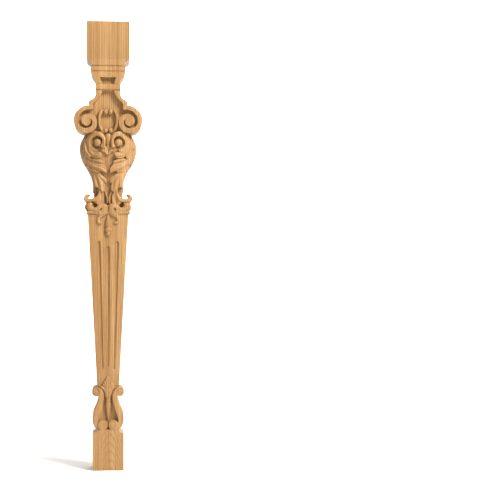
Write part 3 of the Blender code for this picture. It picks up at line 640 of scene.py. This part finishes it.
console_sheets = (
    ("broad leaf", console_flat, 0.024,
     (((20.5, 569), (19.4, 563), (19.6, 558), (21.2, 554), (24, 550.4), (27.6, 547.4), (31, 545.8),
       (35, 545), (38.4, 545.6), (40.2, 548.4), (38.8, 551.2)),
      ((36.6, 553.2), (39, 554.6), (41.6, 554.6), (45.2, 552.6), (47.7, 549), (48.3, 545), (47.4, 541),
       (45, 538.3), (41.6, 536.8), (36, 537), (30, 537.8), (25.5, 536)),
      ((22, 531), (10, 531)), ((7, 537), (7, 548), (8.4, 556), (10, 562)), ((12, 569),)),
     ((13, 566, 2.6), (14, 552, 3), (20, 544, 5), (28, 541.5, 6.4), (38, 541, 6.2), (44.5, 544, 5.6),
      (44, 550, 4.8), (39, 553.4, 3.6)),
     2.6, 3.8,
     ((2.4, ((18, 562, 0.8), (18.4, 552, 1.6), (22.6, 543, 1.4), (30, 539.6, 0.6))),
      (3.2, ((13, 560, -0.8), (13, 548, -1.8), (15.5, 538, -1.6))))),
    ("rolled leaf", head_flat, -0.011,
     (((23, 529.4), (26, 528), (29.2, 528.6), (31.6, 531)),
      ((30.2, 533.8), (31.2, 536.4), (34.2, 537.6), (38, 537.3), (41.2, 535.2), (43.1, 531.4),
       (43.2, 527.6), (41.2, 523.8), (37.2, 520.5), (33, 518.5), (28, 517.3)),
      ((23, 515.6), (20, 522)), ((20, 529),)),
     ((24, 522, 2.4), (31, 522.4, 2.8), (37, 526, 3), (38.6, 531, 3), (35, 534.6, 2.4), (32, 534.4, 1.6)),
     3.6, 4.4, ((1.7, ((22, 519, -0.6), (30, 519.8, -1), (37, 523.6, -1), (40, 528, -0.6))),)),
    ("head", head_flat, -0.004,
     (((15, 535.4), (10, 536), (5, 535), (1.6, 532), (-0.2, 529), (-0.3, 523), (0.5, 518), (2, 514.5),
       (4.6, 511.6), (10, 508.6), (13.6, 506), (15.8, 503.2)),
      ((15.6, 500.4), (13.4, 499.5), (11.7, 498.4), (11.4, 496.2), (13, 494.3), (16, 493.3), (19, 493.9),
       (22, 496), (24, 500), (24, 504), (23, 508)),
      ((21.8, 510.6), (23.4, 512.6), (25, 515.4), (25.6, 520), (24.6, 526), (21.6, 531), (18.6, 533.9))),
     ((16, 531, 2.2), (11, 522, 3.2), (11.5, 514, 2.8), (17, 507, 1.4), (20.3, 501, 0.8),
      (18, 496.6, 1.4), (14, 496.6, 2.2)),
     4.4, 7, ((2.0, ((22, 524, -0.8), (20, 514, -1.6), (21.5, 509, -1.0))),)),
)
stem = ((26, 84, 4, 14), (14.5, 70, 6.5, 28), (7.4, 59, 7.8, 34), (6.8, 50, 7.6, 34), (9, 41, 7.2, 32),
        (14, 33, 5, 24))
leaf_recess = (((20, 567.8), (19.3, 563), (19.6, 558), (21.2, 554), (24, 550.4), (27.6, 547.4)),
               ((31.5, 546), (31.5, 556)), ((31.5, 567.6), (26, 567.9)))
for side in (-1, 1):
    for name, surface, back, pieces, spine, crown, soft, folds in console_sheets:
        relief(name, drawn(side, pieces), surface, back, spine, crown, soft, folds)
    strip("stem", on_console(side, stem), console_flat, 0, along=78, across=16)
    roll("rear roll", (side * 0.0375, 0.5285), 0.0092, -0.0355, 0.02, 0.42)
    plate("leaf recess", drawn(side, leaf_recess), -0.0218, -0.045, 0, cuts)
    # The drilled eye of each curled head
    x, z = on_console(side, ((49, 18, 0, 0),))[0][:2]
    eye = [(x + side * 0.0017, z - 0.0033, 0.0008, DRILL_DEPTH), (x, z, 0.0015, DRILL_DEPTH),
           (x - side * 0.0018, z + 0.0028, 0.0012, DRILL_DEPTH)]
    strip("head eye", eye, flat_at(HEAD_FACE), CLEAR_OF_CARVING, along=16, across=4, section=drilled,
          edge=0, group=cuts)

# The drop in front of the taper's head: a husk and a string of beads that hang from between the curled
# heads. It is carved in the round from the same oak, its back still joined to the taper.
DROP_RADIUS = 0.0071
DROP_LENGTH = 0.051
drop = ((0, -0.2), (0.42, -0.2), (0.42, 0.02), (0.48, 0.17), (0.84, 0.4), (0.95, 0.57), (0.76, 0.65),
        (1, 0.75), (0.64, 0.84), (0.75, 0.92), (0.4, 0.985), (0, 1))
turned("drop", [(r * DROP_RADIUS, TORUS_TOP - v * DROP_LENGTH) for r, v in drop],
       -TAPER_HEAD_HALF + 0.0016)

# The flutes: three to each face of the taper, drawn together towards the foot as the taper narrows. They are
# run in the oak with a round gouge, the middle one a little shorter than its neighbours.
TAPER_FOOT = 0.170
TAPER_HEIGHT = 0.344
FLUTE_HALF = 0.0026


def taper_half(z):
    """Half the taper's width at a height."""
    return TAPER_FOOT_HALF + (TAPER_HEAD_HALF - TAPER_FOOT_HALF) * (z - TAPER_FOOT) / TAPER_HEIGHT


for quarter in range(4):
    for across in (-1, 0, 1):
        low = TAPER_FOOT + (0.095 if across else 0.11) * TAPER_HEIGHT
        high = TAPER_FOOT + (0.845 if across else 0.815) * TAPER_HEIGHT
        flute = []
        for share in (0, 0.33, 0.67, 1):
            z = low + (high - low) * share
            half = FLUTE_HALF * (1 + 0.3 * share)
            flute.append((across * 0.49 * taper_half(z), z, half, half * 0.95))
        cutter = strip("flute", flute, lambda x, z: -taper_half(z), -0.046, along=60, across=10,
                       section=lambda s: -round_over(s), edge=0, group=cuts)
        cutter.data.transform(Matrix.Rotation(quarter * math.pi / 2, 4, "Z"))

# The lyre above the foot: two arms with curled feet and heads, and a torch and a palmette between them. The
# arms are sawn through the oak from front to back, and the torch and the palmette are carved on the front.
LYRE_DEPTH = 0.029
FOOT_CURL_RADIUS = 0.0102
FOOT_CURL_FRONT = LYRE_DEPTH + 0.0016
COIL_STEPS = 15
COIL_RADIUS = 0.0078
lyre_flat = flat_at(LYRE_GROUND_DEPTH)
arm = (((10, 80.2), (18, 80.4), (25, 84), (28.5, 90), (30.6, 97), (31, 107), (30, 115), (27, 123),
        (24, 130), (21.2, 138), (19.4, 146)),
       ((20.2, 149.4), (24, 148.6), (28, 149.8), (31.2, 153.4), (32.1, 158), (30.6, 163), (27.2, 166.2),
        (23.5, 167), (19, 166.2), (15, 164), (11.5, 160.6), (9.2, 156), (8.2, 150), (9, 140), (11.4, 128),
        (16, 115), (19.2, 105), (19.8, 97)),
       ((17, 90), (11, 87)))
arm_spine = ((16, 84, 6.4), (24, 92, 7), (25.5, 105, 7.6), (22, 120, 7.8), (16, 135, 7.8), (14, 150, 7.8),
             (18, 161, 7.4), (25, 163.5, 6.8), (29, 158, 6.6), (25, 156, 6.8))
arm_crease = ((20.8, 149.6, -0.4), (18.4, 154, -1.7), (19.2, 159.8, -1.9), (22.8, 163.2, -1.8),
              (27.4, 162.8, -1.2), (30.2, 159.6, -0.3))
for side in (-1, 1):
    relief("lyre arm", drawn(side, arm), lyre_flat, LYRE_DEPTH * 0.8, arm_spine, 1.9, 2.8,
           ((1.15, arm_crease),), cell=0.7)
    x, z = side * 0.0107, 0.0906
    roll("lyre foot curl", (x, z), FOOT_CURL_RADIUS, -FOOT_CURL_FRONT, LYRE_DEPTH * 0.7, 0.16)
    coil = []
    for step in range(COIL_STEPS):
        turn = math.radians(100 + 36 * step)
        reach = COIL_RADIUS * (1 - step / COIL_STEPS)
        coil.append((x + side * reach * math.cos(turn), z + reach * math.sin(turn), 0.0008, 0.0007))
    strip("lyre coil", coil, flat_at(FOOT_CURL_FRONT), -LYRE_DEPTH - 0.004, along=70, across=4,
          section=lambda s: abs(s) - 1, edge=0, group=cuts)
    roll("lyre head curl", (side * 0.0247, 0.1558), 0.0063, -LYRE_DEPTH - 0.0005, LYRE_DEPTH * 0.72, 0.5)
half_palm = (((0, 145.7),), ((4.6, 145.7), (6.2, 150), (8.2, 156), (10.4, 161), (14, 164.4)),
             ((17.8, 166), (15.6, 168.4)), ((11.6, 169), (11.6, 171.6), (10.6, 174.4)),
             ((8.9, 174.6), (9, 177.4), (8, 180)), ((6.4, 180.2), (6.2, 183), (5, 185.4)),
             ((3.6, 185.2), (2.6, 187.8)), ((0, 190),))
palm_side = [point for point in drawn(1, half_palm) if point[0] > 0.00002]
palm = palm_side + [(0, 0.190)] + [(-x, z) for x, z in reversed(palm_side)]
palm_spine = ((0, 145, 6.4), (0, 160, 6.6), (0, 175, 5.6), (0, 190, 4.6))
palm_ribs = ((0.9, ((3, 147, 0.2), (4.6, 156, 0.8), (9, 163.6, 1.1), (15.4, 166.8, 0.8))),
             (0.9, ((2, 148, 0.2), (4.2, 160, 1), (7.4, 168, 1.1), (10, 173, 0.7))),
             (0.9, ((1.4, 150, 0.2), (3.4, 165, 1), (6, 173, 1.1), (7.6, 178.4, 0.7))),
             (0.9, ((0.8, 156, 0.2), (2.4, 171, 0.9), (4.6, 183.6, 0.7))),
             (0.8, ((4, 159, -0.4), (6, 165, -1.6), (9.4, 169.6, -1.4))))
relief("palmette", palm, lyre_flat, 0.001, palm_spine, 1.6, 3, palm_ribs, cell=0.8)
torch = ((0, 147), (4.9, 146.6), (5.3, 144.6), (5.2, 142.6), (4.6, 141.9), (5.4, 141), (5.9, 139.4),
         (5.4, 137.8), (4.6, 137), (5.6, 134.6), (5.7, 131), (4.9, 124), (3.6, 114), (2.2, 104.6),
         (1.2, 101.6), (0, 100.6))
turned("torch", [(r / 1000, z / 1000) for r, z in torch], -LYRE_GROUND_DEPTH - 0.0022)

# The whole baluster: blank and carving are one piece of oak, with every groove, slit and flute cut into it,
# and nothing is glued or pinned on. Its round forms run smooth, and its edges are as sharp as the chisel
# left them.
bpy.context.scene.collection.objects.link(blank)
for kind, group in (("UNION", carving), ("DIFFERENCE", cuts)):
    bpy.context.scene.collection.children.link(group)
    change = blank.modifiers.new(group.name, "BOOLEAN")
    change.operation = kind
    change.operand_type = "COLLECTION"
    change.collection = group
    change.solver = "MANIFOLD"
bpy.context.view_layer.update()
graph = bpy.context.evaluated_depsgraph_get()
whole = bpy.data.meshes.new_from_object(blank.evaluated_get(graph))
form = bmesh.new()
form.from_mesh(whole)
bmesh.ops.remove_doubles(form, verts=form.verts, dist=0.000001)
bmesh.ops.triangulate(form, faces=form.faces, ngon_method="BEAUTY")
bmesh.ops.recalc_face_normals(form, faces=form.faces)
form.to_mesh(whole)
form.free()
for thing in [blank] + list(carving.objects) + list(cuts.objects):
    bpy.data.objects.remove(thing)
for group in (carving, cuts):
    bpy.data.collections.remove(group)
baluster = bpy.data.objects.new("carved_baluster", whole)
bpy.context.scene.collection.objects.link(baluster)
whole.shade_smooth()
whole.set_sharp_from_angle(angle=math.radians(32))
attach(baluster, "root")
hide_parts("baluster")


# The oak: straight-grained and honey-coloured, with darker lines of late wood that turn to arches low on the
# piece, and open pores in short dark strokes along the grain. It is planed, sanded and waxed to a satin.
oak = bpy.data.materials.new("oak")
oak.use_nodes = True
tree = oak.node_tree
shader = tree.nodes["Principled BSDF"]


class Wire:
    """A socket in the oak's nodes, so that its maths reads as plain sums."""

    def __init__(self, socket):
        self.socket = socket

    def __add__(self, other):
        return maths("ADD", self, other)

    def __radd__(self, other):
        return maths("ADD", other, self)

    def __sub__(self, other):
        return maths("SUBTRACT", self, other)

    def __rsub__(self, other):
        return maths("SUBTRACT", other, self)

    def __mul__(self, other):
        return maths("MULTIPLY", self, other)

    def __rmul__(self, other):
        return maths("MULTIPLY", other, self)


def node(kind, settings, inputs, output=0):
    """One node: its settings first, then its sockets' values or links; returns the wire of one output."""
    made = tree.nodes.new(kind)
    for name, value in settings.items():
        setattr(made, name, value)
    for name, value in inputs.items():
        if isinstance(value, Wire):
            tree.links.new(value.socket, made.inputs[name])
        else:
            made.inputs[name].default_value = value
    return Wire(made.outputs[output])


def maths(operation, first, second):
    return node("ShaderNodeMath", {"operation": operation}, {0: first, 1: second})


def mix(share, first, second):
    """From the first colour to the second."""
    return node("ShaderNodeMix", {"data_type": "RGBA"}, {0: share, 6: first, 7: second}, 2)


def ramp(value, low, high):
    """Nought below low, one above high."""
    return node("ShaderNodeMapRange", {"interpolation_type": "SMOOTHSTEP"},
                {"Value": value, "From Min": low, "From Max": high})


place = node("ShaderNodeTexCoord", {}, {}, "Object")


def stretched(scale, shift=(0, 0, 0), turn=(0, 0, 0)):
    """Places on the piece, drawn out by a scale on each axis."""
    return node("ShaderNodeMapping", {},
                {"Vector": place, "Location": shift, "Rotation": turn, "Scale": scale})


def noise(vector, detail, rough, distortion=0):
    return node("ShaderNodeTexNoise", {},
                {"Vector": vector, "Scale": 1, "Detail": detail, "Roughness": rough,
                 "Distortion": distortion})


rings = node("ShaderNodeTexWave", {"wave_type": "RINGS", "rings_direction": "Z"},
             {"Vector": stretched((80, 80, 5), (23, -3.2, 0), (0.02, 0.03, 0)), "Scale": 1,
              "Distortion": 2.4, "Detail": 2, "Detail Scale": 0.8, "Detail Roughness": 0.5}, "Fac")
arches = node("ShaderNodeTexWave", {"wave_type": "RINGS", "rings_direction": "SPHERICAL"},
              {"Vector": stretched((200, 200, 24), (-0.7, 0, 7.2)), "Scale": 1, "Distortion": 2.2,
               "Detail": 2, "Detail Scale": 0.7, "Detail Roughness": 0.5}, "Fac")
upright = node("ShaderNodeSeparateXYZ", {}, {"Vector": place}, "Z")
low = ramp(upright, 0.05, 0.15)
rings = rings * low + arches * (1 - low)
staves = noise(stretched((75, 40, 1.3), (3.1, 0.4, 0)), 2, 0.5, 0.4)
streaks = noise(stretched((480, 150, 7), (0.4, 1.9, 0)), 3, 0.6)
threads = noise(stretched((1150, 330, 12), (1.4, 0.3, 0.2)), 2, 0.6)
pores = noise(stretched((2300, 2300, 75), (0.7, 0.2, 0.1)), 2, 0.55)
fine_pores = noise(stretched((3800, 3800, 260), (0.3, 1.2, 0.5)), 1, 0.5)
early = ramp(rings, 0.2, 0.9)
late = ramp(rings, 0.72, 0.98) * ramp(streaks, 0.34, 0.56) * (0.4 + 0.6 * low)
pore = ramp(pores, 0.53, 0.66) * (0.35 + 0.65 * early)
fine_pore = ramp(fine_pores, 0.56, 0.68)
light = (0.50, 0.297, 0.122, 1)
middle = (0.37, 0.198, 0.071, 1)
dark = (0.13, 0.058, 0.020, 1)
streak_brown = (0.235, 0.115, 0.037, 1)
thread_brown = (0.19, 0.088, 0.028, 1)
late_brown = (0.21, 0.098, 0.031, 1)
colour = mix(ramp(staves, 0.32, 0.68), light, middle)
colour = mix(early * 0.5, colour, middle)
colour = mix(ramp(streaks, 0.44, 0.7) * 0.5, colour, streak_brown)
colour = mix(ramp(threads, 0.5, 0.68) * 0.42, colour, thread_brown)
colour = mix(late * 0.52, colour, late_brown)
colour = mix(pore * 0.34, colour, dark)
colour = mix(fine_pore * 0.24, colour, dark)
tree.links.new(colour.socket, shader.inputs["Base Color"])
rough = 0.44 + 0.1 * streaks + 0.2 * pore
tree.links.new(rough.socket, shader.inputs["Roughness"])
height = 0.3 * streaks - 0.9 * pore - 0.4 * fine_pore
bump = node("ShaderNodeBump", {}, {"Height": height, "Strength": 0.3, "Distance": 0.0003})
tree.links.new(bump.socket, shader.inputs["Normal"])
shader.inputs["Specular IOR Level"].default_value = 0.3
whole.materials.clear()
whole.materials.append(oak)

# The plain floor and backdrop: one pale painted sheet, flat under the baluster and curved up behind it.
# It only stands for a studio and isn't part of the baluster.
FLOOR_HALF = 9
BEND_START = 2
BEND_RADIUS = 2
form = bmesh.new()
bmesh.ops.create_grid(form, x_segments=1, y_segments=48, size=1)
for vert in form.verts:
    x = vert.co.x * FLOOR_HALF
    run = (vert.co.y + 1) / 2 * 10 - 4
    if run < BEND_START:
        vert.co = (x, run, 0)
    else:
        bend = min((run - BEND_START) / BEND_RADIUS, math.pi / 2)
        above = max(0, run - BEND_START - BEND_RADIUS * math.pi / 2)
        vert.co = (x, BEND_START + BEND_RADIUS * math.sin(bend),
                   BEND_RADIUS * (1 - math.cos(bend)) + above)
sheet = bpy.data.meshes.new("floor")
form.to_mesh(sheet)
form.free()
sheet.shade_smooth()
floor = bpy.data.objects.new("floor", sheet)
bpy.context.scene.collection.objects.link(floor)
white = bpy.data.materials.new("floor paint")
white.use_nodes = True
paint = white.node_tree.nodes["Principled BSDF"]
paint.inputs["Base Color"].default_value = (0.93, 0.93, 0.93, 1)
paint.inputs["Roughness"].default_value = 0.9
sheet.materials.append(white)

# The lights: a large soft lamp in front, above and to the right, a faint one to the left, and a third that
# lifts the backdrop. The room round them is bright and even, and a little warm.
scene = bpy.context.scene


def lamp(name, place, aim, size, power):
    """A round soft lamp at a place, turned towards its aim."""
    data = bpy.data.lights.new(name, "AREA")
    data.shape = "DISK"
    data.size = size
    data.energy = power
    thing = bpy.data.objects.new(name, data)
    scene.collection.objects.link(thing)
    thing.location = place
    thing.rotation_euler = (Vector(aim) - Vector(place)).to_track_quat("-Z", "Y").to_euler()


lamp("key", (1.9, -2.1, 2.9), (0, 0, 0.5), 1.4, 240)
lamp("fill", (-2.4, -2.6, 1.4), (0, 0, 0.5), 2.0, 5)
lamp("backdrop light", (0.6, 1.7, 3.3), (0.6, 4.6, 0.5), 2.4, 150)
world = bpy.data.worlds.new("room")
scene.world = world
world.use_nodes = True
room = world.node_tree.nodes["Background"]
room.inputs["Color"].default_value = (1, 0.965, 0.9, 1)
room.inputs["Strength"].default_value = 0.37

# The camera: a long lens that looks level from straight in front, at half the baluster's height. It takes
# in a little more than the whole of it, and is turned to the right, so that the baluster stands left of
# the middle as it does in the photograph.
LENS = 100
SENSOR = 36
FRAME_WIDTH = 0.983
FRONT = 0.045
EYE_HEIGHT = 0.4526
LEFT_SHARE = 0.2794
camera = bpy.data.objects.new("camera", bpy.data.cameras.new("camera"))
scene.collection.objects.link(camera)
camera.data.lens = LENS
camera.data.sensor_width = SENSOR
camera.location = (0, -FRAME_WIDTH * LENS / SENSOR - FRONT, EYE_HEIGHT)
camera.rotation_euler = (math.pi / 2, 0, -math.atan(LEFT_SHARE * SENSOR / LENS))
scene.camera = camera
scene.view_settings.view_transform = "Standard"
